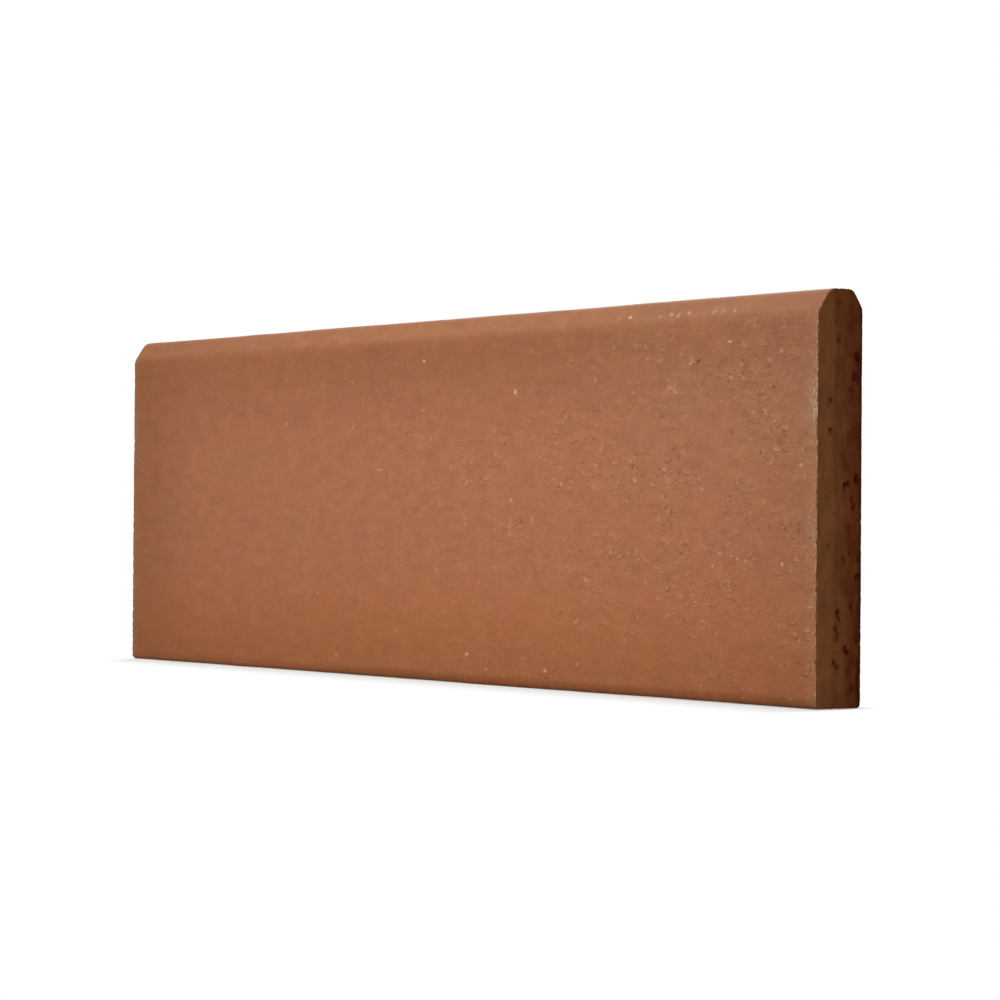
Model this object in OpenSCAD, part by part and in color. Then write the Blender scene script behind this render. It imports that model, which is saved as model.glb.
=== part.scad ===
// Clinker skirting tile: one extruded and fired bar of clay, cut square at both ends.
// It stands on its foot with the face towards -Y and the wall side towards +Y.
// The origin is the middle of the foot, on the floor.

/* [Tile] */
// Length along the skirting, from one cut end to the other
tile_length = 245; // [120:1:300]
// Height from the foot to the crown
tile_height = 80; // [50:1:150]
// Thickness from the face to the wall side
tile_thickness = 12; // [11:0.5:20]

/* [Face arris at the crown] */
// Drop of the face bevel below the crown
face_bevel_drop = 4.9; // [3:0.1:8]
// Run of the face bevel into the thickness
face_bevel_run = 3.3; // [2:0.1:4]
// Radius where the face bevel turns into the crown
face_crown_radius = 3; // [0.5:0.1:3]
// Radius where the face turns into its bevel
face_bevel_radius = 3; // [0.5:0.1:4]

/* [Wall arris at the crown] */
// Drop of the wall side's bevel below the crown
wall_bevel_drop = 3.6; // [2:0.1:6]
// Run of the wall side's bevel into the thickness
wall_bevel_run = 2.6; // [2:0.1:3]
// Radius where the wall side's bevel turns into the crown
wall_crown_radius = 2; // [0.5:0.1:2]
// Radius where the wall side turns into its bevel
wall_bevel_radius = 1; // [0.5:0.1:2]

/* [Foot] */
// Radius of the arris between the face and the foot
face_foot_radius = 1.2; // [0.3:0.1:2]
// Radius of the arris between the wall side and the foot
wall_foot_radius = 1; // [0.3:0.1:2]

/* [Hidden] */
$fn = 96;
fired_clay = "#a56b4c";
face_y = -tile_thickness / 2;
wall_y = tile_thickness / 2;

// The corners of the section before they are rounded, counterclockwise seen from +X,
// each as [y, z, radius].
section_corners = [
    [face_y, 0, face_foot_radius],
    [wall_y, 0, wall_foot_radius],
    [wall_y, tile_height - wall_bevel_drop, wall_bevel_radius],
    [wall_y - wall_bevel_run, tile_height, wall_crown_radius],
    [face_y + face_bevel_run, tile_height, face_crown_radius],
    [face_y, tile_height - face_bevel_drop, face_bevel_radius]
];

function point(corner) = [corner[0], corner[1]];
function unit(v) = v / norm(v);
function towards(corner, other) = unit(point(other) - point(corner));

// Half of the angle between the two sides that meet at a corner.
function half_angle(corner, before, after) =
    acos(towards(corner, before) * towards(corner, after)) / 2;

// Where the rounding of a corner leaves the side that runs to the other corner.
function tangent_point(corner, other, half) =
    point(corner) + towards(corner, other) * corner[2] / tan(half);

// Centre of the circle that touches both sides of a corner.
function rounding_centre(corner, before, after, half) =
    point(corner)
    + unit(towards(corner, before) + towards(corner, after)) * corner[2] / sin(half);

// A convex outline whose corners are true arcs: the outline through the tangent points,
// and one circle in each corner.
module rounded_outline(corners) {
    count = len(corners);
    polygon([
        for (i = [0 : count - 1])
            let (
                corner = corners[i],
                before = corners[(i + count - 1) % count],
                after = corners[(i + 1) % count],
                half = half_angle(corner, before, after)
            )
            each [tangent_point(corner, before, half), tangent_point(corner, after, half)]
    ]);
    for (i = [0 : count - 1]) {
        corner = corners[i];
        before = corners[(i + count - 1) % count];
        after = corners[(i + 1) % count];
        half = half_angle(corner, before, after);
        translate(rounding_centre(corner, before, after, half))
            circle(r = corner[2]);
    }
}

// The whole tile: the section carried along X, with both ends cut square.
module skirting_tile() {
    color(fired_clay)
        rotate([90, 0, 90])
            linear_extrude(height = tile_length, center = true)
                rounded_outline(section_corners);
}

skirting_tile();
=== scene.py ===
import math

import bpy
import numpy as np
from mathutils import Matrix, Vector


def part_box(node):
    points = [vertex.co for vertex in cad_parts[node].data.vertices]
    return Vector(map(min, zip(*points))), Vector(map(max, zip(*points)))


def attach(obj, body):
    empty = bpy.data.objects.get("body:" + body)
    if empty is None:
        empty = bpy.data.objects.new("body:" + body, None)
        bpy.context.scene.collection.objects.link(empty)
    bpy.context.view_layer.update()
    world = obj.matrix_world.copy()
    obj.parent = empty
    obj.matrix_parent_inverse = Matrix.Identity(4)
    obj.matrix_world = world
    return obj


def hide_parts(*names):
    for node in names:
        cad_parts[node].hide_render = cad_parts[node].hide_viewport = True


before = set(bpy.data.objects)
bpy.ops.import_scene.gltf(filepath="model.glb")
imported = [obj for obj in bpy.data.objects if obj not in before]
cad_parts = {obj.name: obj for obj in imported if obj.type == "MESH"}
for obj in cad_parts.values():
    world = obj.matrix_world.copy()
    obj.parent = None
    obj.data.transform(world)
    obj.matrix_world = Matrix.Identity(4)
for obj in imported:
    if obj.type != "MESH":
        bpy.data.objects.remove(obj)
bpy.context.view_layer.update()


# ---- The fired bar: its outline ----
# The tile is one bar of clay. It was pressed through a die as an endless strand, which gives it a straight
# length and one section: a flat face, a bevelled crown, a flat wall side and a foot with softened arrises.
# Sizes are in metres. The face looks towards -Y, the wall side towards +Y, and the length lies along X.

mm = 0.001
tile_low, tile_high = (np.array(corner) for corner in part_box("skirting_tile"))
face_y, wall_y = tile_low[1], tile_high[1]
crown_z = tile_high[2]
half_length = tile_high[0]

face_bevel_drop, face_bevel_run = 4.9 * mm, 3.3 * mm
wall_bevel_drop, wall_bevel_run = 3.6 * mm, 2.6 * mm

# The section's corners before they are rounded, as y, z and radius, clockwise from the face's foot.
section_corners = np.array([
    (face_y, 0.0, 1.2 * mm),
    (face_y, crown_z - face_bevel_drop, 3.0 * mm),
    (face_y + face_bevel_run, crown_z, 3.0 * mm),
    (wall_y - wall_bevel_run, crown_z, 2.0 * mm),
    (wall_y, crown_z - wall_bevel_drop, 1.0 * mm),
    (wall_y, 0.0, 1.0 * mm),
])
# Steps of the mesh on each corner's arc and on the straight that follows it, and how many of these fine
# steps make one step of the long middle of the bar, which needs less detail than the cut ends.
arc_steps = (8, 8, 6, 6, 8, 8)
arc_strides = (1, 2, 1, 2, 2, 2)
straight_steps = (224, 8, 12, 8, 224, 24)
straight_strides = (2, 2, 4, 2, 8, 4)


def unit(vectors):
    """Each row divided by its own length."""
    return vectors / np.linalg.norm(vectors, axis=-1, keepdims=True)


def section_loop():
    """The closed line round the section. At a corner of radius r, whose sides meet at an angle a, the arc's
    centre lies on the bisector, r / sin(a / 2) from the corner, and its directions swing evenly from one
    touching point to the other. Between two arcs the line is straight. Returns points and outward normals."""
    place, radius = section_corners[:, :2], section_corners[:, 2:]
    to_last = unit(np.roll(place, 1, axis=0) - place)
    to_next = unit(np.roll(place, -1, axis=0) - place)
    half = np.arccos((to_last * to_next).sum(1, keepdims=True)) / 2
    centre = place + unit(to_last + to_next) * radius / np.sin(half)
    first = unit(place + to_last * radius / np.tan(half) - centre)
    last = unit(place + to_next * radius / np.tan(half) - centre)
    swing = math.pi - 2 * half
    points, normals = [], []
    for k, (on_arc, on_straight) in enumerate(zip(arc_steps, straight_steps)):
        t = np.arange(on_arc)[:, None] / on_arc
        out = (np.sin((1 - t) * swing[k]) * first[k] + np.sin(t * swing[k]) * last[k]) / np.sin(swing[k])
        following = (k + 1) % len(arc_steps)
        start = centre[k] + radius[k] * last[k]
        end = centre[following] + radius[following] * first[following]
        t = np.arange(on_straight)[:, None] / on_straight
        points += [centre[k] + radius[k] * out, start + t * (end - start)]
        normals += [out, np.repeat(last[k:k + 1], on_straight, axis=0)]
    return np.concatenate(points), np.concatenate(normals)


loop_points, loop_normals = section_loop()
around = len(loop_points)
# The middle of the bar keeps only some of the loop's steps.
stretches = np.array([arc_steps, straight_steps]).T.ravel()
strides = np.array([arc_strides, straight_strides]).T.ravel()
starts = np.concatenate([[0], np.cumsum(stretches)[:-1]])
kept = np.concatenate([np.arange(a, a + n, s) for a, n, s in zip(starts, stretches, strides)])
# The loop starts at the middle of the foot arris, where the cut end's four sides meet in a corner.
corner_step = arc_steps[0] // 2
loop_points = np.roll(loop_points, -corner_step, axis=0)
loop_normals = np.roll(loop_normals, -corner_step, axis=0)
kept = np.sort((kept - corner_step) % around)
across = straight_steps[5] + (arc_steps[5] + arc_steps[0]) // 2
upright = around // 2 - across


# ---- The fired bar: its skin and its cut ends ----
# The strand was cut to length with a wire and fired, unglazed. The skin is a little wavy and carries a few
# small pits. The cuts leave crisp, crumbled arrises, a smeared front half and open pores in the rear half.

rng = np.random.default_rng(12)


def soft_field(points, size, seed, waves=18):
    """A soft random field from about -1 to 1 with bumps of about the given size: the mean of plane cosine
    waves in random directions, whose wavelengths lie between one and two and a half times the size."""
    draw = np.random.default_rng(seed)
    directions = unit(draw.normal(size=(waves, points.shape[1])))
    wavelengths = size * draw.uniform(1.0, 2.5, waves)
    phases = draw.uniform(0, 2 * math.pi, waves)
    angle = (points @ directions.T) * (2 * math.pi / wavelengths) + phases
    return np.cos(angle).mean(1) * math.sqrt(waves / 2)


end_zone = 4.0 * mm
end_lines = 12
middle_lines = 348
# Lines across the bar's length: close together at the cuts, where the arrises crumble, then evenly spaced.
insets = end_zone * (np.arange(end_lines + 1) / end_lines) ** 1.6
end_x = half_length - insets
middle_x = np.linspace(-half_length + end_zone, half_length - end_zone, middle_lines + 1)[1:-1]


def carried(x_lines, steps):
    """The section's loop carried along X: one copy of the given steps on each x line, with its normals."""
    points = np.empty((len(x_lines), len(steps), 3))
    points[..., 0] = x_lines[:, None]
    points[..., 1:] = loop_points[steps]
    normals = np.zeros_like(points)
    normals[..., 1:] = loop_normals[steps]
    return points.reshape(-1, 3), normals.reshape(-1, 3)


all_steps = np.arange(around)
zones = [carried(-end_x, all_steps), carried(middle_x, kept), carried(end_x[::-1], all_steps)]
skin = np.concatenate([points for points, _ in zones])
skin_normals = np.concatenate([normals for _, normals in zones])
left_lines = np.arange((end_lines + 1) * around).reshape(-1, around)
middle_grid = left_lines.size + np.arange(len(middle_x) * len(kept)).reshape(-1, len(kept))
right_lines = left_lines.size + middle_grid.size + left_lines

# The skin leans in by up to a few tenths of a millimetre in long waves, and never out of its true section.
long_wave = 0.06 * mm * (1 + soft_field(skin, 45 * mm, seed=1))
short_wave = 0.025 * mm * (1 + soft_field(skin, 7 * mm, seed=2))
skin -= skin_normals * np.maximum(long_wave + short_wave, 0)[:, None]


def stretched_patch(loop):
    """The surface stretched between four edges that share their corners: at each inner point, the mean of
    the two opposite edges' blends across and up, less the blend of the four corners. The four edges are
    the face side, the crown, the wall side and the foot of one displaced loop. Returns the inner points."""
    face = loop[:upright + 1]
    crown = loop[upright:upright + across + 1]
    wall = loop[upright + across:2 * upright + across + 1][::-1]
    foot = np.concatenate([loop[2 * upright + across:], loop[:1]])[::-1]
    u = np.arange(1, across)[None, :, None] / across
    v = np.arange(1, upright)[:, None, None] / upright
    sides = (1 - u) * face[1:-1, None] + u * wall[1:-1, None]
    ends = (1 - v) * foot[None, 1:-1] + v * crown[None, 1:-1]
    corners = ((1 - u) * (1 - v) * foot[0] + u * (1 - v) * foot[-1]
               + (1 - u) * v * crown[0] + u * v * crown[-1])
    return sides + ends - corners


def cut_face(loop_ids, first_id):
    """The index grid of a cut end, foot to crown and face to wall: the loop's own points round the border
    and new points, numbered from first_id, inside."""
    grid = np.empty((upright + 1, across + 1), int)
    grid[1:-1, 1:-1] = first_id + np.arange((upright - 1) * (across - 1)).reshape(upright - 1, across - 1)
    grid[:, 0] = loop_ids[:upright + 1]
    grid[-1, :] = loop_ids[upright:upright + across + 1]
    grid[:, -1] = loop_ids[upright + across:2 * upright + across + 1][::-1]
    grid[0, 1:] = loop_ids[2 * upright + across:][::-1]
    return grid


left_inner = stretched_patch(skin[left_lines[0]]).reshape(-1, 3)
right_inner = stretched_patch(skin[right_lines[-1]]).reshape(-1, 3)
left_cut = cut_face(left_lines[0], len(skin))
right_cut = cut_face(right_lines[-1], len(skin) + len(left_inner))
points = np.concatenate([skin, left_inner, right_inner])
cut_points = np.arange(len(skin), len(points))

# At each cut the wire pulls grains out of the arris, so it steps in and out by a few tenths, by less on the
# wall side, and hardly at the left end. This fades out within a millimetre of the arris.
from_arris = half_length - np.abs(points[:, 0])
from_arris[cut_points] = np.linalg.norm(points[cut_points, None, 1:] - loop_points, axis=2).min(1)
deepest_in, deepest_back = 0.13 * mm, 0.32 * mm
ragged = np.exp(-from_arris / (0.4 * mm)) * np.where(points[:, 1] > 0, 0.2, 1.0)
ragged *= np.where(points[:, 0] < 0, 0.1, 1.0)
torn_in = 0.5 + 0.5 * soft_field(skin, 0.9 * mm, seed=3) + 0.35 * soft_field(skin, 3.5 * mm, seed=4)
points[:len(skin)] -= skin_normals * (deepest_in * ragged[:len(skin)] * np.clip(torn_in, 0, 2))[:, None]
torn_back = 0.2 + 0.9 * soft_field(points, 0.75 * mm, seed=5)
points[:, 0] -= np.sign(points[:, 0]) * deepest_back * ragged * np.clip(torn_back, 0, 2)

# The cut is smeared smooth near the face and torn rough towards the wall side. Between the two runs the
# seam where the clay met again behind the die's core, as a shallow wandering groove.
y, z = points[cut_points, 1], points[cut_points, 2]
which_end = np.sign(points[cut_points, 0])
seam_y = -0.9 * mm + 0.5 * mm * soft_field(np.stack([z + 3 * which_end], 1), 22 * mm, seed=6)
groove = np.exp(-((y - seam_y) / (0.7 * mm)) ** 2)
groove *= 0.65 + 0.35 * soft_field(points[cut_points], 6 * mm, seed=7)
behind_seam = np.clip((y - seam_y) / (1.5 * mm), 0, 1)
roughness = (0.5 + 0.5 * soft_field(points[cut_points], 1.1 * mm, seed=8)) * (0.03 + 0.10 * behind_seam) * mm
points[cut_points, 0] -= which_end * (0.16 * mm * groove.clip(0) + roughness.clip(0))
seamed = np.zeros(len(points))
seamed[cut_points] = groove.clip(0, 1)


def scoop_out(points, mouths, outward, half_widths, depths, tall=1.0):
    """Presses every point inside a ball out to the ball's surface, straight away from its centre. A ball of
    radius (w^2 + d^2) / 2d, whose centre stands off the surface by the radius less d, leaves a scoop with
    the half width w and the depth d. tall stretches the scoops upwards. Returns how deep each point went."""
    sunk = np.zeros(len(points))
    shape = np.array([1.0, 1.0, tall])
    radii = (half_widths ** 2 + depths ** 2) / (2 * depths)
    centres = mouths + unit(outward) * (radii - depths)[:, None]
    for centre, radius, width in zip(centres, radii, half_widths):
        near = np.flatnonzero(np.abs(points[:, 0] - centre[0]) < radius + 2 * mm)
        away = (points[near] - centre) / shape
        distance = np.linalg.norm(away, axis=1)
        inside = distance < radius
        moved = centre + away[inside] * (radius / distance[inside])[:, None] * shape
        sunk[near[inside]] = np.maximum(sunk[near[inside]], (radius - distance[inside]) / width)
        points[near[inside]] = moved
    return sunk


# Crumbs lost from the arrises of both cuts, mostly from the arris between the face and the cut. At the right
# cut there are more of them in two rubbed stretches of that arris, the first two groups below, and a few
# larger ones at the given heights, the third group.
crumbs = 170
most_rubbed, less_rubbed, larger = slice(0, 40), slice(40, 60), slice(60, 68)
larger_z = np.array([8, 12.5, 21.5, 24.5, 35, 44, 46, 54]) * mm
crumb_steps = np.where(
    rng.random(crumbs) < 0.6, rng.integers(0, upright, crumbs), rng.integers(0, around, crumbs))
crumb_steps[most_rubbed] = (rng.normal(0.70, 0.06, 40) * upright).astype(int)
crumb_steps[less_rubbed] = (rng.normal(0.35, 0.08, 20) * upright).astype(int)
crumb_steps[larger] = (larger_z / crown_z * upright).astype(int)
crumb_side = rng.choice([-1.0, 1.0], crumbs)
crumb_side[:larger.stop] = 1.0
crumb_depths = rng.uniform(0.06, 0.20, crumbs) * mm
crumb_widths = rng.uniform(0.25, 0.7, crumbs) * mm
crumb_depths[larger] = rng.uniform(0.25, 0.40, len(larger_z)) * mm
crumb_widths[larger] = rng.uniform(0.5, 0.8, len(larger_z)) * mm
crumb_mouths = np.column_stack([crumb_side * half_length, loop_points[crumb_steps]])
crumb_outward = np.column_stack([crumb_side * rng.uniform(0.5, 1.5, crumbs), loop_normals[crumb_steps]])
chipped = scoop_out(points, crumb_mouths, crumb_outward, crumb_widths, crumb_depths)

# Up to 4 mm from the cuts the face is rubbed and dusty: lightly all along, more on the arris itself, and more
# in three stretches, each with its middle height and its strength. The left end is cleaner.
stretch_reach = 6 * mm
rubbed = np.full(len(points), 0.15)
for middle, amount in ((58 * mm, 0.85), (34 * mm, 0.35), (10 * mm, 0.25)):
    stretch = np.exp(-((points[:, 2] - middle) / stretch_reach) ** 2) * amount
    rubbed = np.maximum(rubbed, stretch)
inset = half_length - np.abs(points[:, 0])
rubbed *= (1 - np.clip(inset / (4 * mm), 0, 1)) ** 1.5
rubbed = np.maximum(rubbed, 0.5 * np.exp(-inset / (0.5 * mm)))
rubbed *= np.clip(1 - (points[:, 1] - face_y) / (1.5 * mm), 0, 1) * np.where(points[:, 0] < 0, 0.3, 1.0)

# Open pores of the cuts: each is a crooked, upright pair of scoops. The large ones have a place and a half
# width in mm. They follow the seam or lie about the torn half. Small ones are densest towards the wall. The
# left cut has the large ones too, upside down.
large_pores = np.array([
    (0, 77, 0.35), (-1, 73.5, 0.35), (-0.5, 70.5, 0.45), (-1, 66, 0.35), (4.5, 67, 0.65), (4, 63.5, 0.5),
    (3, 60.5, 0.45), (1, 58.5, 0.25), (-2.5, 58, 0.5), (-2.5, 52.5, 0.45), (4.5, 44, 0.6), (1.5, 42.5, 0.55),
    (3, 40, 0.4), (4, 38.5, 0.45), (2.5, 34.5, 0.3), (3, 29.5, 0.4), (1, 28.5, 0.4), (5, 25, 0.6),
    (3.5, 20, 0.45), (0, 17.5, 0.6), (-0.5, 15.5, 0.5), (-0.5, 13.5, 0.5), (4.5, 13, 0.45), (2, 11, 0.65),
    (-0.5, 8.5, 0.5), (3.5, 4, 0.4)]) * mm
small_pores = 30
sides = np.repeat([1.0, -1.0], len(large_pores) + small_pores)
small_y = face_y + (wall_y - face_y) * rng.beta(2.8, 1.5, 2 * small_pores)
small_z = rng.uniform(2 * mm, crown_z - 4 * mm, 2 * small_pores)
small_width = rng.uniform(0.12, 0.30, 2 * small_pores) * mm
pore_y = np.concatenate([large_pores[:, 0], small_y[:small_pores], large_pores[:, 0], small_y[small_pores:]])
pore_z = np.concatenate([
    large_pores[:, 1], small_z[:small_pores], crown_z - 2 * mm - large_pores[:, 1], small_z[small_pores:]])
pore_width = np.concatenate([
    large_pores[:, 2], small_width[:small_pores], large_pores[:, 2], small_width[small_pores:]])
scoops = 2
sides, pore_y, pore_z, pore_width = (
    np.repeat(values, scoops) for values in (sides, pore_y, pore_z, pore_width))
nth = np.tile(np.arange(scoops) - 0.5, len(sides) // scoops)
pore_y = pore_y + rng.normal(0, 0.45, len(nth)) * pore_width
pore_z = pore_z + (nth * 1.2 + rng.normal(0, 0.3, len(nth))) * pore_width
pore_width = pore_width * rng.uniform(0.75, 1.1, len(nth))
pore_mouths = np.column_stack([sides * (half_length - 0.05 * mm), pore_y, pore_z])
pore_outward = np.column_stack([sides, np.zeros(len(nth)), np.zeros(len(nth))])
pored = scoop_out(points, pore_mouths, pore_outward, pore_width, 0.8 * pore_width, tall=1.3)
# Round each pore the clay is stained by what burnt out of it: the more the larger the pore, and less so with
# the distance.
for mouth, width in zip(pore_mouths, pore_width):
    away = np.linalg.norm(points[cut_points] - mouth, axis=1)
    stain = min(width / (0.5 * mm), 1.0) * np.exp(-(away / (1.1 * width)) ** 2)
    pored[cut_points] = np.maximum(pored[cut_points], stain)

# A few pits in the skin, where a lime or coal speck burnt out.
pits = 34
pit_mouths = np.column_stack([
    rng.uniform(-half_length + 5 * mm, half_length - 5 * mm, pits), np.full(pits, face_y),
    rng.uniform(4 * mm, crown_z - 8 * mm, pits)])
pit_outward = np.tile([0.0, -1.0, 0.0], (pits, 1))
pit_widths = rng.uniform(0.45, 0.75, pits) * mm
pitted = scoop_out(points, pit_mouths, pit_outward, pit_widths, 0.4 * pit_widths)

points = np.clip(points, tile_low, tile_high)


def grid_faces(grid):
    """The four-sided faces of an index grid. They face along the first direction crossed with the second."""
    return np.stack([grid[:-1, :-1], grid[1:, :-1], grid[1:, 1:], grid[:-1, 1:]], -1).reshape(-1, 4)


def closed(lines):
    """An index grid with its first column added again after its last, so that it closes into a tube."""
    return np.concatenate([lines, lines[:, :1]], axis=1)


def joining_faces(fine_line, coarse_line, flip):
    """One face for each step of the coarse line, with all the fine steps beside it on its other edge."""
    faces = []
    ends = np.append(kept[1:], kept[0] + around)
    for width in np.unique(ends - kept):
        here = np.flatnonzero(ends - kept == width)
        fine = fine_line[(kept[here, None] + np.arange(width + 1)) % around]
        coarse = np.stack([coarse_line[(here + 1) % len(kept)], coarse_line[here]], -1)
        ring = np.concatenate([fine, coarse], axis=1)
        faces.append(ring[:, ::-1] if flip else ring)
    return faces


skin_faces = [grid_faces(closed(lines)) for lines in (left_lines, middle_grid, right_lines)]
skin_faces += joining_faces(left_lines[-1], middle_grid[0], flip=True)
skin_faces += joining_faces(right_lines[0], middle_grid[-1], flip=False)
cut_faces = [grid_faces(right_cut.T), grid_faces(left_cut)]
all_faces = skin_faces + cut_faces
corner_ids = np.concatenate([block.ravel() for block in all_faces])
corner_counts = np.concatenate([np.full(len(block), block.shape[1]) for block in all_faces])
on_cut = np.repeat([0, 1], [sum(map(len, skin_faces)), sum(map(len, cut_faces))])

mesh = bpy.data.meshes.new("fired_tile")
mesh.vertices.add(len(points))
mesh.vertices.foreach_set("co", points.astype(np.float32).ravel())
mesh.loops.add(len(corner_ids))
mesh.loops.foreach_set("vertex_index", corner_ids.astype(np.int32))
mesh.polygons.add(len(corner_counts))
first_corners = np.concatenate([[0], np.cumsum(corner_counts)[:-1]])
mesh.polygons.foreach_set("loop_start", first_corners.astype(np.int32))
mesh.polygons.foreach_set("material_index", on_cut.astype(np.int32))
mesh.update(calc_edges=True)
mesh.validate()
mesh.polygons.foreach_set("use_smooth", np.ones(len(corner_counts), bool))
mesh.set_sharp_from_angle(angle=math.radians(42))
for name, amount in (("chipped", chipped), ("rubbed", rubbed), ("seamed", seamed), ("pored", pored),
                     ("pitted", pitted)):
    attribute = mesh.attributes.new(name, "FLOAT", "POINT")
    attribute.data.foreach_set("value", amount.clip(0, 1).astype(np.float32))

fired_tile = bpy.data.objects.new("fired_tile", mesh)
bpy.context.scene.collection.objects.link(fired_tile)
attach(fired_tile, "root")
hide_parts("skirting_tile")


# ---- The fired bar: its finish ----
# Unglazed clinker clay, burnt close to sintering. The skin was smeared by the die: it is matte orange brown
# and mottled, with scales and burrs drawn out along the strand, bare grains and pinholes. The wire opens the
# clay's coarse inside, so the cuts are darker and torn.

def linear(hex_colour):
    """Turns an sRGB hex colour into the linear red, green, blue and alpha that a shader takes."""
    srgb = np.array([int(hex_colour[i:i + 2], 16) for i in (1, 3, 5)]) / 255
    rgb = np.where(srgb <= 0.04045, srgb / 12.92, ((srgb + 0.055) / 1.055) ** 2.4)
    return (*rgb, 1.0)


def add_node(tree, kind, inputs=None, out=0, **settings):
    """Adds a node and returns one of its outputs. inputs gives each socket's value, or the output that feeds
    it. Sockets go by their number, identifier or name."""
    made = tree.nodes.new("ShaderNode" + kind)
    for name, value in settings.items():
        setattr(made, name, value)

    def find(sockets, key):
        if isinstance(key, int):
            return sockets[key]
        return next(socket for socket in sockets if key in (socket.identifier, socket.name))

    for key, value in (inputs or {}).items():
        if isinstance(value, bpy.types.NodeSocket):
            tree.links.new(value, find(made.inputs, key))
        else:
            find(made.inputs, key).default_value = value
    return find(made.outputs, out) if len(made.outputs) else None


def new_material(name):
    """An empty material with its tree, and the object's own coordinates in metres."""
    made = bpy.data.materials.new(name)
    made.use_nodes = True
    made.node_tree.nodes.clear()
    return made, made.node_tree, add_node(made.node_tree, "TexCoord", out="Object")


# The skin is matte and dense. It gives a broad soft light with no reflection to speak of, a little brighter
# at a flat angle.
skin_clay, tree, place = new_material("extruded_fired_clay")
along_x = add_node(tree, "SeparateXYZ", {0: place}, out="X")
height = add_node(tree, "SeparateXYZ", {0: place}, out="Z")
# What the die smeared is drawn out along the strand.
drawn = add_node(tree, "Mapping", {"Vector": place, "Scale": (0.55, 1.0, 1.0)})

# Patches that burnt pinker or more olive, some 9 mm wide, and cloudiness of 3 mm within them.
patches = add_node(tree, "TexNoise", {"Vector": drawn, "Scale": 1 / (9 * mm), "Detail": 2.0})
pink = add_node(tree, "MapRange", {"Value": patches, "From Min": 0.48, "From Max": 0.66})
olive = add_node(tree, "MapRange", {"Value": patches, "From Min": 0.52, "From Max": 0.34})
colour = add_node(tree, "Mix", {
    "Factor_Float": pink, "A_Color": linear("#AA6C48"), "B_Color": linear("#A96B4A")}, data_type="RGBA",
    out="Result_Color")
colour = add_node(tree, "Mix", {"Factor_Float": olive, "A_Color": colour, "B_Color": linear("#A86D49")},
                  data_type="RGBA", out="Result_Color")
clouds = add_node(tree, "TexNoise", {"Vector": drawn, "Scale": 1 / (3 * mm), "Detail": 2.5, "Roughness": 0.6})
cloudy = add_node(tree, "MapRange", {
    "Value": clouds, "From Min": 0.25, "From Max": 0.75, "To Min": 0.90, "To Max": 1.10})
colour = add_node(tree, "VectorMath", {0: colour, 1: cloudy}, operation="MULTIPLY")

# Painted shade: the colour is darkened towards the foot, at the two ends and in the strip under the bevel.
# The strip is darkest about its middle, and the bevel itself is hardly darker.
from_foot = add_node(tree, "MapRange", {
    "Value": height, "From Min": 0.0, "From Max": 20 * mm, "To Min": 0.50, "To Max": 1.0},
    interpolation_type="SMOOTHSTEP")
from_left = add_node(tree, "MapRange", {
    "Value": along_x, "From Min": -half_length, "From Max": -half_length + 34 * mm, "To Min": 0.30,
    "To Max": 1.0}, interpolation_type="SMOOTHSTEP")
from_right = add_node(tree, "MapRange", {
    "Value": along_x, "From Min": half_length, "From Max": half_length - 30 * mm, "To Min": 0.70,
    "To Max": 1.0}, interpolation_type="SMOOTHSTEP")
least_at_right = add_node(tree, "MapRange", {
    "Value": along_x, "From Min": 45 * mm, "From Max": 90 * mm, "To Min": 0.14, "To Max": 0.42})
least_at_left = add_node(tree, "MapRange", {
    "Value": along_x, "From Min": -20 * mm, "From Max": -70 * mm, "To Min": 0.14, "To Max": 0.42})
least = add_node(tree, "Math", {0: least_at_right, 1: least_at_left}, operation="MAXIMUM")
from_bevel = add_node(tree, "MapRange", {
    "Value": height, "From Min": crown_z - face_bevel_drop, "From Max": crown_z - 32 * mm, "To Min": least,
    "To Max": 1.0}, interpolation_type="SMOOTHSTEP")
on_bevel = add_node(tree, "MapRange", {
    "Value": height, "From Min": crown_z - 5.5 * mm, "From Max": crown_z - 3.5 * mm, "To Max": 0.85},
    interpolation_type="SMOOTHSTEP")
unshaded_share = from_bevel
for share in (from_foot, from_left, from_right):
    unshaded_share = add_node(tree, "Math", {0: unshaded_share, 1: share}, operation="MULTIPLY")
unshaded_share = add_node(tree, "Math", {0: unshaded_share, 1: on_bevel}, operation="MAXIMUM")
painted_shade_colour = add_node(tree, "VectorMath", {0: colour, 1: (0.75, 0.75, 0.77)}, operation="MULTIPLY")
colour = add_node(tree, "Mix", {"Factor_Float": unshaded_share, "A_Color": painted_shade_colour, "B_Color": colour},
                  data_type="RGBA", out="Result_Color")
# Towards the foot it is redder, part of the painted shade there; at the left end and under the bevel a
# little warmer, up at the right end greyer, and on the bevel a little cooler, a painted sheen.
near_foot = add_node(tree, "MapRange", {"Value": height, "From Min": 34 * mm, "From Max": 0.0},
                     interpolation_type="SMOOTHSTEP")
at_right = add_node(tree, "MapRange", {"Value": along_x, "From Min": 20 * mm, "From Max": 112 * mm},
                    interpolation_type="SMOOTHSTEP")
greyer_at_right = add_node(tree, "MapRange", {"Value": height, "From Min": 25 * mm, "From Max": 60 * mm},
                 interpolation_type="SMOOTHSTEP")
greyer_at_right = add_node(tree, "Math", {0: greyer_at_right, 1: at_right}, operation="MULTIPLY")
under_bevel = add_node(tree, "MapRange", {"Value": height, "From Min": 62 * mm, "From Max": 73 * mm},
                       interpolation_type="SMOOTHSTEP")
off_bevel = add_node(tree, "Math", {0: on_bevel, 1: -0.9, 2: 1.0}, operation="MULTIPLY_ADD")
under_bevel = add_node(tree, "Math", {0: under_bevel, 1: off_bevel}, operation="MULTIPLY")
at_left = add_node(tree, "MapRange", {
    "Value": along_x, "From Min": -half_length + 30 * mm, "From Max": -half_length},
    interpolation_type="SMOOTHSTEP")
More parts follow.
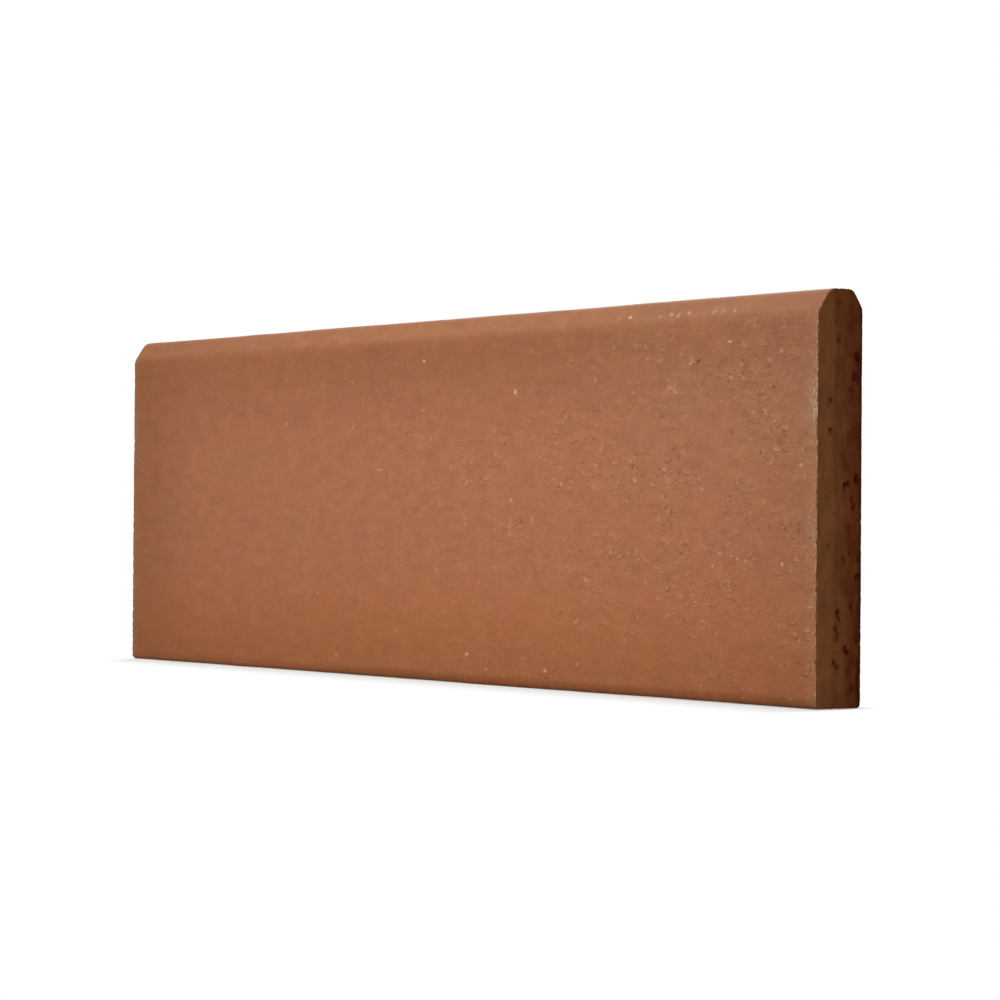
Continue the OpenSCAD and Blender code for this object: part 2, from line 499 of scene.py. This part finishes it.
for share, tint in (
        (near_foot, (1.0, 0.90, 0.70)), (at_left, (1.0, 0.975, 0.90)), (greyer_at_right, (0.98, 1.06, 1.12)),
        (on_bevel, (0.93, 1.0, 1.03)), (under_bevel, (1.0, 0.97, 0.89))):
    tinted = add_node(tree, "VectorMath", {0: colour, 1: tint}, operation="MULTIPLY")
    colour = add_node(tree, "Mix", {"Factor_Float": share, "A_Color": colour, "B_Color": tinted},
                      data_type="RGBA", out="Result_Color")
# The arris that the tile stands on is darkest: painted shade where it turns down to the floor.
painted_foot_shade = add_node(tree, "MapRange", {
    "Value": height, "From Min": 2.8 * mm, "From Max": 1.2 * mm}, interpolation_type="SMOOTHSTEP")
foot_shade_strength = add_node(tree, "MapRange", {
    "Value": along_x, "From Min": -half_length, "From Max": 0.0, "To Min": 0.15, "To Max": 0.9})
painted_foot_shade = add_node(tree, "Math", {0: painted_foot_shade, 1: foot_shade_strength}, operation="MULTIPLY")
foot_shade_colour = add_node(tree, "VectorMath", {0: colour, 1: (0.68, 0.61, 0.45)}, operation="MULTIPLY")
colour = add_node(tree, "Mix", {"Factor_Float": painted_foot_shade, "A_Color": colour, "B_Color": foot_shade_colour},
                  data_type="RGBA", out="Result_Color")

# Nothing in clay is round: the outlines of grains and pinholes are pushed about by up to 0.25 mm.
push = add_node(tree, "TexNoise", {"Vector": place, "Scale": 1 / (0.9 * mm), "Detail": 1.0}, out="Color")
a_little_drawn = add_node(tree, "Mapping", {"Vector": place, "Scale": (0.75, 1.0, 1.0)})
uneven = add_node(
    tree, "VectorMath", {0: push, 1: (0.9 * mm,) * 3, 2: a_little_drawn}, operation="MULTIPLY_ADD")
# The die dragged the skin into fine short scales along the strand, about 2 by 1 mm: their crests are painted
# paler and their troughs darker, painted light and shade on the relief. The skin is coarser in some parts
# than in others, smooth on the bevel and smoother just below it, by the foot and towards the strand's left.
crowded = add_node(tree, "TexNoise", {"Vector": drawn, "Scale": 1 / (8 * mm), "Detail": 2.0})
coarseness = add_node(tree, "MapRange", {
    "Value": crowded, "From Min": 0.36, "From Max": 0.60, "To Min": 0.35, "To Max": 1.0})
to_the_right = add_node(tree, "MapRange", {
    "Value": along_x, "From Min": -0.6 * half_length, "From Max": 0.8 * half_length, "To Min": 0.2,
    "To Max": 1.0})
off_foot = add_node(tree, "MapRange", {"Value": height, "From Max": 24 * mm, "To Min": 0.5})
off_top = add_node(tree, "MapRange", {
    "Value": height, "From Min": crown_z - 7 * mm, "From Max": crown_z - 14 * mm, "To Min": 0.72})
for share in (to_the_right, off_bevel, off_top, off_foot):
    coarseness = add_node(tree, "Math", {0: coarseness, 1: share}, operation="MULTIPLY")
scales = add_node(tree, "TexNoise", {
    "Vector": drawn, "Scale": 1 / (1.1 * mm), "Detail": 1.5, "Roughness": 0.5, "Distortion": 0.5})
crest = add_node(tree, "MapRange", {"Value": scales, "From Min": 0.57, "From Max": 0.70},
                 interpolation_type="SMOOTHSTEP")
crest = add_node(tree, "Math", {0: crest, 1: coarseness}, operation="MULTIPLY")
trough = add_node(tree, "MapRange", {"Value": scales, "From Min": 0.42, "From Max": 0.29},
                  interpolation_type="SMOOTHSTEP")
trough = add_node(tree, "Math", {0: trough, 1: coarseness}, operation="MULTIPLY")
# Grains that the die dragged along left short crooked burrs. They run where the swell of the grains under the
# skin crosses its mean, and break off where there was no grain.
swell = add_node(tree, "TexNoise", {
    "Vector": drawn, "Scale": 1 / (2.2 * mm), "Detail": 1.8, "Roughness": 0.5, "Distortion": 1.0})
off_mean = add_node(tree, "Math", {0: swell, 1: 0.5}, operation="SUBTRACT")
off_mean = add_node(tree, "Math", {0: off_mean}, operation="ABSOLUTE")
curl = add_node(tree, "MapRange", {"Value": off_mean, "From Min": 0.07, "From Max": 0.01},
                interpolation_type="SMOOTHSTEP")
curl_places = add_node(tree, "TexNoise", {"Vector": place, "Scale": 1 / (1.6 * mm), "Detail": 0.5})
curl_places = add_node(tree, "MapRange", {"Value": curl_places, "From Min": 0.56, "From Max": 0.75})
curl = add_node(tree, "Math", {0: curl, 1: curl_places}, operation="MULTIPLY")
burr = add_node(tree, "Math", {0: coarseness, 1: 1.7}, operation="POWER")
burr = add_node(tree, "Math", {0: curl, 1: burr}, operation="MULTIPLY")
# Painted light and shade: the crests and the burrs are coloured paler, the troughs darker.
for share, most, shade in ((crest, 0.20, "#CE9068"), (trough, 0.26, "#713F24"), (burr, 0.50, "#D9A57E")):
    share = add_node(tree, "Math", {0: share, 1: most}, operation="MULTIPLY")
    colour = add_node(tree, "Mix", {"Factor_Float": share, "A_Color": colour, "B_Color": linear(shade)},
                      data_type="RGBA", out="Result_Color")
# Here and there a grog grain lifted a flake: a plate that rises to one side and ends there in a crescent
# step. Its lip is painted paler, a painted highlight, and a painted shade lies dark under the step. Each cell
# of a Voronoi pattern holds one, turned to a side and raised by its own share. Large ones are 1.6 mm wide,
# small ones 0.8 mm.
lip = painted_gap_shade = 0.0
for cell, radius, rarity in ((3.2 * mm, 0.80 * mm, 2.2), (1.5 * mm, 0.42 * mm, 1.3)):
    flake_cells = {"Vector": uneven, "Scale": 1 / cell}
    grain = add_node(tree, "TexVoronoi", flake_cells, out="Position")
    from_grain = add_node(tree, "VectorMath", {0: uneven, 1: grain}, operation="SUBTRACT")
    to_side = add_node(tree, "TexVoronoi", flake_cells, out="Color")
    to_side = add_node(tree, "VectorMath", {0: to_side, 1: (0.5, 0.5, 0.5)}, operation="SUBTRACT")
    to_side = add_node(tree, "VectorMath", {0: to_side}, operation="NORMALIZE")
    rise = add_node(tree, "VectorMath", {0: from_grain, 1: to_side}, operation="DOT_PRODUCT", out="Value")
    rise = add_node(tree, "MapRange", {"Value": rise, "From Min": 0.2 * radius, "From Max": 0.85 * radius})
    how_high = add_node(tree, "TexWhiteNoise", {"Vector": grain}, out="Value")
    how_high = add_node(tree, "Math", {0: how_high, 1: rarity}, operation="POWER")
    for share in (how_high, coarseness):
        rise = add_node(tree, "Math", {0: rise, 1: share}, operation="MULTIPLY")
    away = add_node(tree, "VectorMath", {0: from_grain}, operation="LENGTH", out="Value")
    inside = add_node(tree, "MapRange", {
        "Value": away, "From Min": radius, "From Max": radius - 0.28 * mm}, interpolation_type="SMOOTHSTEP")
    beyond = add_node(tree, "MapRange", {
        "Value": away, "From Min": radius + 0.30 * mm, "From Max": radius + 0.05 * mm})
    beyond = add_node(tree, "Math", {0: beyond, 1: inside}, operation="SUBTRACT")
    lip = add_node(tree, "Math", {0: rise, 1: inside, 2: lip}, operation="MULTIPLY_ADD")
    painted_gap_shade = add_node(tree, "Math", {0: rise, 1: beyond, 2: painted_gap_shade}, operation="MULTIPLY_ADD")
painted_lip_highlight = add_node(tree, "MapRange", {"Value": lip, "From Min": 0.08, "From Max": 0.6, "To Max": 0.85})
painted_gap_shade = add_node(tree, "Math", {0: painted_gap_shade, 1: 0.75}, operation="MULTIPLY")
for share, shade in ((painted_gap_shade, "#6A3A22"), (painted_lip_highlight, "#DDA984")):
    colour = add_node(tree, "Mix", {"Factor_Float": share, "A_Color": colour, "B_Color": linear(shade)},
                      data_type="RGBA", out="Result_Color")
# A few bare grains are bright: small ones where the skin is coarse, and fewer and larger ones about the
# middle. Their outlines are broken.
where_coarse = add_node(tree, "Math", {0: coarseness, 1: 0.6}, operation="POWER")
for share in (off_bevel, to_the_right):
    where_coarse = add_node(tree, "Math", {0: where_coarse, 1: share}, operation="MULTIPLY")
off_middle = add_node(tree, "Math", {0: along_x, 1: 5 * mm}, operation="SUBTRACT")
off_middle = add_node(tree, "Math", {0: off_middle}, operation="ABSOLUTE")
in_middle = add_node(tree, "MapRange", {
    "Value": off_middle, "From Min": 30 * mm, "From Max": 80 * mm, "To Min": 0.9, "To Max": 0.1})
in_middle = add_node(tree, "Math", {0: in_middle, 1: off_bevel}, operation="MULTIPLY")
broken = add_node(tree, "TexNoise", {"Vector": place, "Scale": 1 / (0.6 * mm), "Detail": 1.0})
broken = add_node(tree, "MapRange", {"Value": broken, "From Min": 0.40, "From Max": 0.56, "To Min": 0.25})
speck = 0.0
for cell, radius, rarity, where in (
        (1.9 * mm, 0.35 * mm, 8.0, where_coarse), (4 * mm, 0.42 * mm, 4.0, in_middle)):
    speck_cells = {"Vector": uneven, "Scale": 1 / cell}
    dot = add_node(tree, "TexVoronoi", speck_cells, out="Distance")
    dot = add_node(tree, "MapRange", {
        "Value": dot, "From Min": 1.35 * radius / cell, "From Max": 0.5 * radius / cell})
    how_bright = add_node(tree, "TexVoronoi", speck_cells, out="Color")
    how_bright = add_node(tree, "SeparateColor", {0: how_bright}, out="Red")
    how_bright = add_node(tree, "Math", {0: how_bright, 1: rarity}, operation="POWER")
    for share in (how_bright, where, broken):
        dot = add_node(tree, "Math", {0: dot, 1: share}, operation="MULTIPLY")
    speck = add_node(tree, "Math", {0: speck, 1: dot}, operation="MAXIMUM")
# A wavering row of painted glints lies along the knee below the bevel, where light catches the ridge,
# mostly in one stretch at the right.
off_knee = add_node(tree, "TexNoise", {"Vector": place, "Scale": 1 / (5 * mm)})
off_knee = add_node(tree, "Math", {0: off_knee, 1: -1.6 * mm, 2: height}, operation="MULTIPLY_ADD")
off_knee = add_node(tree, "Math", {0: off_knee, 1: crown_z - 4.1 * mm}, operation="SUBTRACT")
off_knee = add_node(tree, "Math", {0: off_knee}, operation="ABSOLUTE")
painted_knee_glints = add_node(tree, "MapRange", {"Value": off_knee, "From Min": 0.48 * mm, "From Max": 0.20 * mm})
row = {"W": along_x, "Scale": 1 / (2.6 * mm)}
in_row = add_node(tree, "TexVoronoi", row, out="Distance", voronoi_dimensions="1D")
in_row = add_node(tree, "MapRange", {"Value": in_row, "From Min": 0.25, "From Max": 0.12})
glint_strength = add_node(tree, "TexVoronoi", row, out="Color", voronoi_dimensions="1D")
glint_strength = add_node(tree, "SeparateColor", {0: glint_strength}, out="Red")
glint_strength = add_node(tree, "Math", {0: glint_strength, 1: 2.2}, operation="POWER")
off_stretch = add_node(tree, "Math", {0: along_x, 1: 80 * mm}, operation="SUBTRACT")
off_stretch = add_node(tree, "Math", {0: off_stretch}, operation="ABSOLUTE")
glint_stretch = add_node(tree, "MapRange", {
    "Value": off_stretch, "From Min": 26 * mm, "From Max": 14 * mm, "To Min": 0.06, "To Max": 1.0})
for share in (in_row, glint_strength, glint_stretch, broken):
    painted_knee_glints = add_node(tree, "Math", {0: painted_knee_glints, 1: share}, operation="MULTIPLY")
for share, shade in ((speck, "#E8BE98"), (painted_knee_glints, "#EDD0B2")):
    colour = add_node(tree, "Mix", {"Factor_Float": share, "A_Color": colour, "B_Color": linear(shade)},
                      data_type="RGBA", out="Result_Color")
# Coal and iron specks burnt out and left pinholes. They and the pits are darker in colour: partly the
# specks' own dark remains, partly painted shade in the holes.
hole_cells = {"Vector": uneven, "Scale": 1 / (2.7 * mm)}
hole = add_node(tree, "TexVoronoi", hole_cells, out="Distance")
hole = add_node(tree, "MapRange", {"Value": hole, "From Min": 0.17, "From Max": 0.06, "To Max": 0.9},
                interpolation_type="SMOOTHSTEP")
how_dark = add_node(tree, "TexVoronoi", hole_cells, out="Color")
how_dark = add_node(tree, "SeparateColor", {0: how_dark}, out="Red")
how_dark = add_node(tree, "Math", {0: how_dark, 1: 2.8}, operation="POWER")
for share in (how_dark, where_coarse):
    hole = add_node(tree, "Math", {0: hole, 1: share}, operation="MULTIPLY")
pit = add_node(tree, "Attribute", attribute_name="pitted", out="Fac")
pit = add_node(tree, "Math", {0: pit, 1: 0.6}, operation="MULTIPLY")
dark = add_node(tree, "Math", {0: hole, 1: pit}, operation="MAXIMUM")
colour = add_node(tree, "Mix", {"Factor_Float": dark, "A_Color": colour, "B_Color": linear("#5A301E")},
                  data_type="RGBA", out="Result_Color")

# Chips at the cuts show the brown inside, and the rubbed stretches of the arris are dusty.
chip = add_node(tree, "Attribute", attribute_name="chipped", out="Fac")
colour = add_node(tree, "Mix", {"Factor_Float": chip, "A_Color": colour, "B_Color": linear("#9A5F38")},
                  data_type="RGBA", out="Result_Color")
rub = add_node(tree, "Attribute", attribute_name="rubbed", out="Fac")
colour = add_node(tree, "Mix", {"Factor_Float": rub, "A_Color": colour, "B_Color": linear("#A38260")},
                  data_type="RGBA", out="Result_Color")
dust = add_node(tree, "TexNoise", {"Vector": place, "Scale": 1 / (0.6 * mm), "Detail": 1.0})
dust = add_node(tree, "MapRange", {"Value": dust, "From Min": 0.48, "From Max": 0.64})
dust = add_node(tree, "Math", {0: dust, 1: rub}, operation="MULTIPLY")
colour = add_node(tree, "Mix", {"Factor_Float": dust, "A_Color": colour, "B_Color": linear("#CCB294")},
                  data_type="RGBA", out="Result_Color")

# Relief, in metres: slow waves, the swell of grog grains under the skin, the burrs, the scales and their
# crests, the flakes, the pinholes and the dust. It fades where the skin is smooth.
waves = add_node(tree, "TexNoise", {"Vector": drawn, "Scale": 1 / (4 * mm), "Detail": 1.0})
relief = add_node(tree, "Math", {0: waves, 1: 0.28 * mm}, operation="MULTIPLY")
for pattern, amount in (
        (swell, 0.15), (curl, 0.22), (scales, 0.11), (crest, 0.04), (lip, 0.45), (hole, -0.20), (dust, 0.08)):
    relief = add_node(tree, "Math", {0: pattern, 1: amount * mm, 2: relief}, operation="MULTIPLY_ADD")
bumpy = add_node(tree, "Bump", {"Height": relief, "Distance": 1.0, "Strength": coarseness}, out="Normal")
shader = add_node(tree, "BsdfPrincipled", {
    "Base Color": colour, "Roughness": 0.78, "IOR": 1.5, "Specular IOR Level": 0.25, "Normal": bumpy})
add_node(tree, "OutputMaterial", {"Surface": shader})

# The cut shows the inside of the clay: smeared smooth behind the face, torn towards the wall side, and
# darkest along the wall side's edge.
cut_clay, tree, place = new_material("wire_cut_fired_clay")
depth = add_node(tree, "SeparateXYZ", {0: place}, out="Y")
upwards = add_node(tree, "Mapping", {"Vector": place, "Scale": (1.0, 1.0, 0.5)})
wander = add_node(tree, "TexNoise", {"Vector": upwards, "Scale": 1 / (4 * mm), "Detail": 3.0})
wandering = add_node(tree, "Math", {0: wander, 1: 3.0 * mm, 2: depth}, operation="MULTIPLY_ADD")
torn = add_node(tree, "MapRange", {"Value": wandering, "From Min": 0.0, "From Max": 5.0 * mm})
colour = add_node(tree, "Mix", {
    "Factor_Float": torn, "A_Color": linear("#A96A3F"), "B_Color": linear("#8C4A26")}, data_type="RGBA",
    out="Result_Color")
patchy = add_node(tree, "TexNoise", {
    "Vector": upwards, "Scale": 1 / (2.2 * mm), "Detail": 4.0, "Roughness": 0.6})
patchy = add_node(tree, "MapRange", {
    "Value": patchy, "From Min": 0.3, "From Max": 0.7, "To Min": 0.80, "To Max": 1.16})
colour = add_node(tree, "VectorMath", {0: colour, 1: patchy}, operation="MULTIPLY")
# The seam is darker in colour too: painted shade in its groove.
seam = add_node(tree, "Attribute", attribute_name="seamed", out="Fac")
seam = add_node(tree, "Math", {0: seam, 1: 0.40}, operation="MULTIPLY")
colour = add_node(tree, "Mix", {"Factor_Float": seam, "A_Color": colour, "B_Color": linear("#6E3408")},
                  data_type="RGBA", out="Result_Color")
darkest_at_wall_edge = add_node(tree, "MapRange", {
    "Value": wandering, "From Min": wall_y, "From Max": wall_y + 1.6 * mm, "To Max": 0.85},
    interpolation_type="SMOOTHSTEP")
colour = add_node(tree, "Mix", {"Factor_Float": darkest_at_wall_edge, "A_Color": colour, "B_Color": linear("#3A2012")},
                  data_type="RGBA", out="Result_Color")
# Round the pores the clay is dark too, with a ragged border.
torn_grains = add_node(tree, "TexNoise", {"Vector": place, "Scale": 1 / (0.8 * mm), "Detail": 3.0})
stained = add_node(tree, "TexNoise", {"Vector": upwards, "Scale": 1 / (2.0 * mm), "Detail": 1.0})
stained = add_node(tree, "MapRange", {"Value": stained, "From Min": 0.50, "From Max": 0.66, "To Max": 0.45})
stained = add_node(tree, "Math", {0: stained, 1: torn}, operation="MULTIPLY")
colour = add_node(tree, "Mix", {"Factor_Float": stained, "A_Color": colour, "B_Color": linear("#6A2A08")},
                  data_type="RGBA", out="Result_Color")
# The pores and the stain round them are darker in colour, darkest at the pores' cores: partly the clay's own
# dark colour, partly painted shade in the pores' depth.
in_and_out = add_node(tree, "Math", {0: torn_grains, 1: 0.5}, operation="SUBTRACT")
pore = add_node(tree, "Attribute", attribute_name="pored", out="Fac")
pore = add_node(tree, "Math", {0: in_and_out, 1: 0.7, 2: pore}, operation="MULTIPLY_ADD")
pore = add_node(tree, "MapRange", {"Value": pore, "From Min": 0.10, "From Max": 0.75, "To Max": 0.95})
colour = add_node(tree, "Mix", {"Factor_Float": pore, "A_Color": colour, "B_Color": linear("#5A1C04")},
                  data_type="RGBA", out="Result_Color")
core = add_node(tree, "MapRange", {"Value": pore, "From Min": 0.60, "From Max": 0.95, "To Max": 0.85})
colour = add_node(tree, "Mix", {"Factor_Float": core, "A_Color": colour, "B_Color": linear("#240A02")},
                  data_type="RGBA", out="Result_Color")
torn_much = add_node(tree, "MapRange", {"Value": torn, "To Min": 0.06 * mm, "To Max": 0.22 * mm})
relief = add_node(tree, "Math", {0: torn_grains, 1: torn_much}, operation="MULTIPLY")
bumpy = add_node(tree, "Bump", {"Height": relief, "Distance": 1.0}, out="Normal")
shader = add_node(tree, "BsdfPrincipled", {
    "Base Color": colour, "Roughness": 0.92, "IOR": 1.5, "Specular IOR Level": 0.04, "Normal": bumpy})
add_node(tree, "OutputMaterial", {"Surface": shader})

mesh.materials.append(skin_clay)
mesh.materials.append(cut_clay)


# ---- The floor ----
# A plain pale sweep under and behind the tile. Light that bounces off it is that of a mid-grey card, so that
# it doesn't fill the shaded sides; seen by the eye and in reflections it is white, with a soft shadow close
# round the foot.

def only_seen(tree):
    """1 for the rays that see a surface straight, in a reflection or through glass, 0 for bounced light."""
    kinds = ("Camera", "Glossy", "Transmission")
    ways = [add_node(tree, "LightPath", out=f"Is {kind} Ray") for kind in kinds]
    either = add_node(tree, "Math", {0: ways[0], 1: ways[1]}, operation="MAXIMUM")
    return add_node(tree, "Math", {0: either, 1: ways[2]}, operation="MAXIMUM")


floor_half = 12.0
floor_mesh = bpy.data.meshes.new("floor")
floor_mesh.from_pydata(
    [(-floor_half, -floor_half, 0), (floor_half, -floor_half, 0), (floor_half, floor_half, 0),
     (-floor_half, floor_half, 0)], [], [(0, 1, 2, 3)])
floor = bpy.data.objects.new("floor", floor_mesh)
bpy.context.scene.collection.objects.link(floor)

white_sweep, tree, place = new_material("white_sweep")
card = add_node(tree, "BsdfDiffuse", {"Color": linear("#8C8C8C")})
paper = add_node(tree, "BsdfDiffuse", {"Color": linear("#F2F2F2")})
white = add_node(tree, "Emission", {"Color": linear("#FFFFFF"), "Strength": 1.0})
# The distance from the tile's footprint: the part of the place that lies outside the half sizes. Past the
# two ends it counts sixfold, which keeps the shadow there short.
outside = add_node(tree, "VectorMath", {0: place}, operation="ABSOLUTE")
outside = add_node(tree, "VectorMath", {0: outside, 1: (half_length, wall_y, 0)}, operation="SUBTRACT")
outside = add_node(tree, "VectorMath", {0: outside, 1: (0, 0, 0)}, operation="MAXIMUM")
outside = add_node(tree, "VectorMath", {0: outside, 1: (6, 1, 1)}, operation="MULTIPLY")
from_tile = add_node(tree, "VectorMath", {0: outside}, operation="LENGTH", out="Value")
whiter = add_node(tree, "MapRange", {
    "Value": from_tile, "From Min": 0.0, "From Max": 18 * mm, "To Min": 0.45, "To Max": 1.0},
    interpolation_type="SMOOTHSTEP")
along_y = add_node(tree, "SeparateXYZ", {0: place}, out="Y")
behind = add_node(tree, "MapRange", {"Value": along_y, "From Min": wall_y, "From Max": wall_y + 3 * mm})
whiter = add_node(tree, "Math", {0: whiter, 1: behind}, operation="MAXIMUM")
shown = add_node(tree, "MixShader", {0: whiter, 1: paper, 2: white})
sweep = add_node(tree, "MixShader", {0: only_seen(tree), 1: card, 2: shown})
add_node(tree, "OutputMaterial", {"Surface": sweep})
floor_mesh.materials.append(white_sweep)


# ---- The light ----
# A plain soft studio: a key lamp in front, a weaker one overhead that brings out the bevel and the relief, a
# third behind for the wall side, and a pale room.

def soft_lamp(name, location, size, watts):
    """A square lamp of that size, turned so that it shines at the tile's middle."""
    lamp = bpy.data.lights.new(name, "AREA")
    lamp.shape = "SQUARE"
    lamp.size = size
    lamp.energy = watts
    made = bpy.data.objects.new(name, lamp)
    made.location = location
    made.rotation_mode = "QUATERNION"
    made.rotation_quaternion = (Vector((0, 0, crown_z / 2)) - Vector(location)).to_track_quat("-Z", "Y")
    made.visible_camera = False
    bpy.context.scene.collection.objects.link(made)


soft_lamp("key_lamp", (0.03, -0.32, 0.12), 0.16, 0.64)
soft_lamp("overhead_lamp", (0.0, -0.14, 0.42), 0.20, 0.47)
soft_lamp("back_lamp", (-0.45, 0.50, 0.40), 0.40, 5.0)

world = bpy.data.worlds.new("studio")
bpy.context.scene.world = world
world.use_nodes = True
tree = world.node_tree
tree.nodes.clear()
room = add_node(tree, "Background", {"Color": linear("#FFFFFF"), "Strength": 0.35})
backdrop = add_node(tree, "Background", {"Color": linear("#FFFFFF"), "Strength": 1.0})
mixed = add_node(tree, "MixShader", {0: only_seen(tree), 1: room, 2: backdrop})
add_node(tree, "OutputWorld", {"Surface": mixed})


# ---- The camera ----
# It stands level with the tile's middle, to the right of the face, close enough for a strong perspective.

view_azimuth = math.radians(51.54)
view_elevation = math.radians(-0.48)
view_roll = math.radians(0.44)
view_distance = 0.6454
view_aim = Vector((19 * mm, 0.0, 39.9 * mm))
back = Vector((math.sin(view_azimuth) * math.cos(view_elevation),
               -math.cos(view_azimuth) * math.cos(view_elevation), math.sin(view_elevation)))
camera_data = bpy.data.cameras.new("camera")
camera_data.lens = 107.1
camera_data.sensor_width = 36.0
camera = bpy.data.objects.new("camera", camera_data)
camera.location = view_aim + back * view_distance
camera.rotation_mode = "QUATERNION"
roll = Matrix.Rotation(view_roll, 3, "Z")
camera.rotation_quaternion = ((-back).to_track_quat("-Z", "Y").to_matrix() @ roll).to_quaternion()
bpy.context.scene.collection.objects.link(camera)
bpy.context.scene.camera = camera
bpy.context.scene.view_settings.view_transform = "Standard"
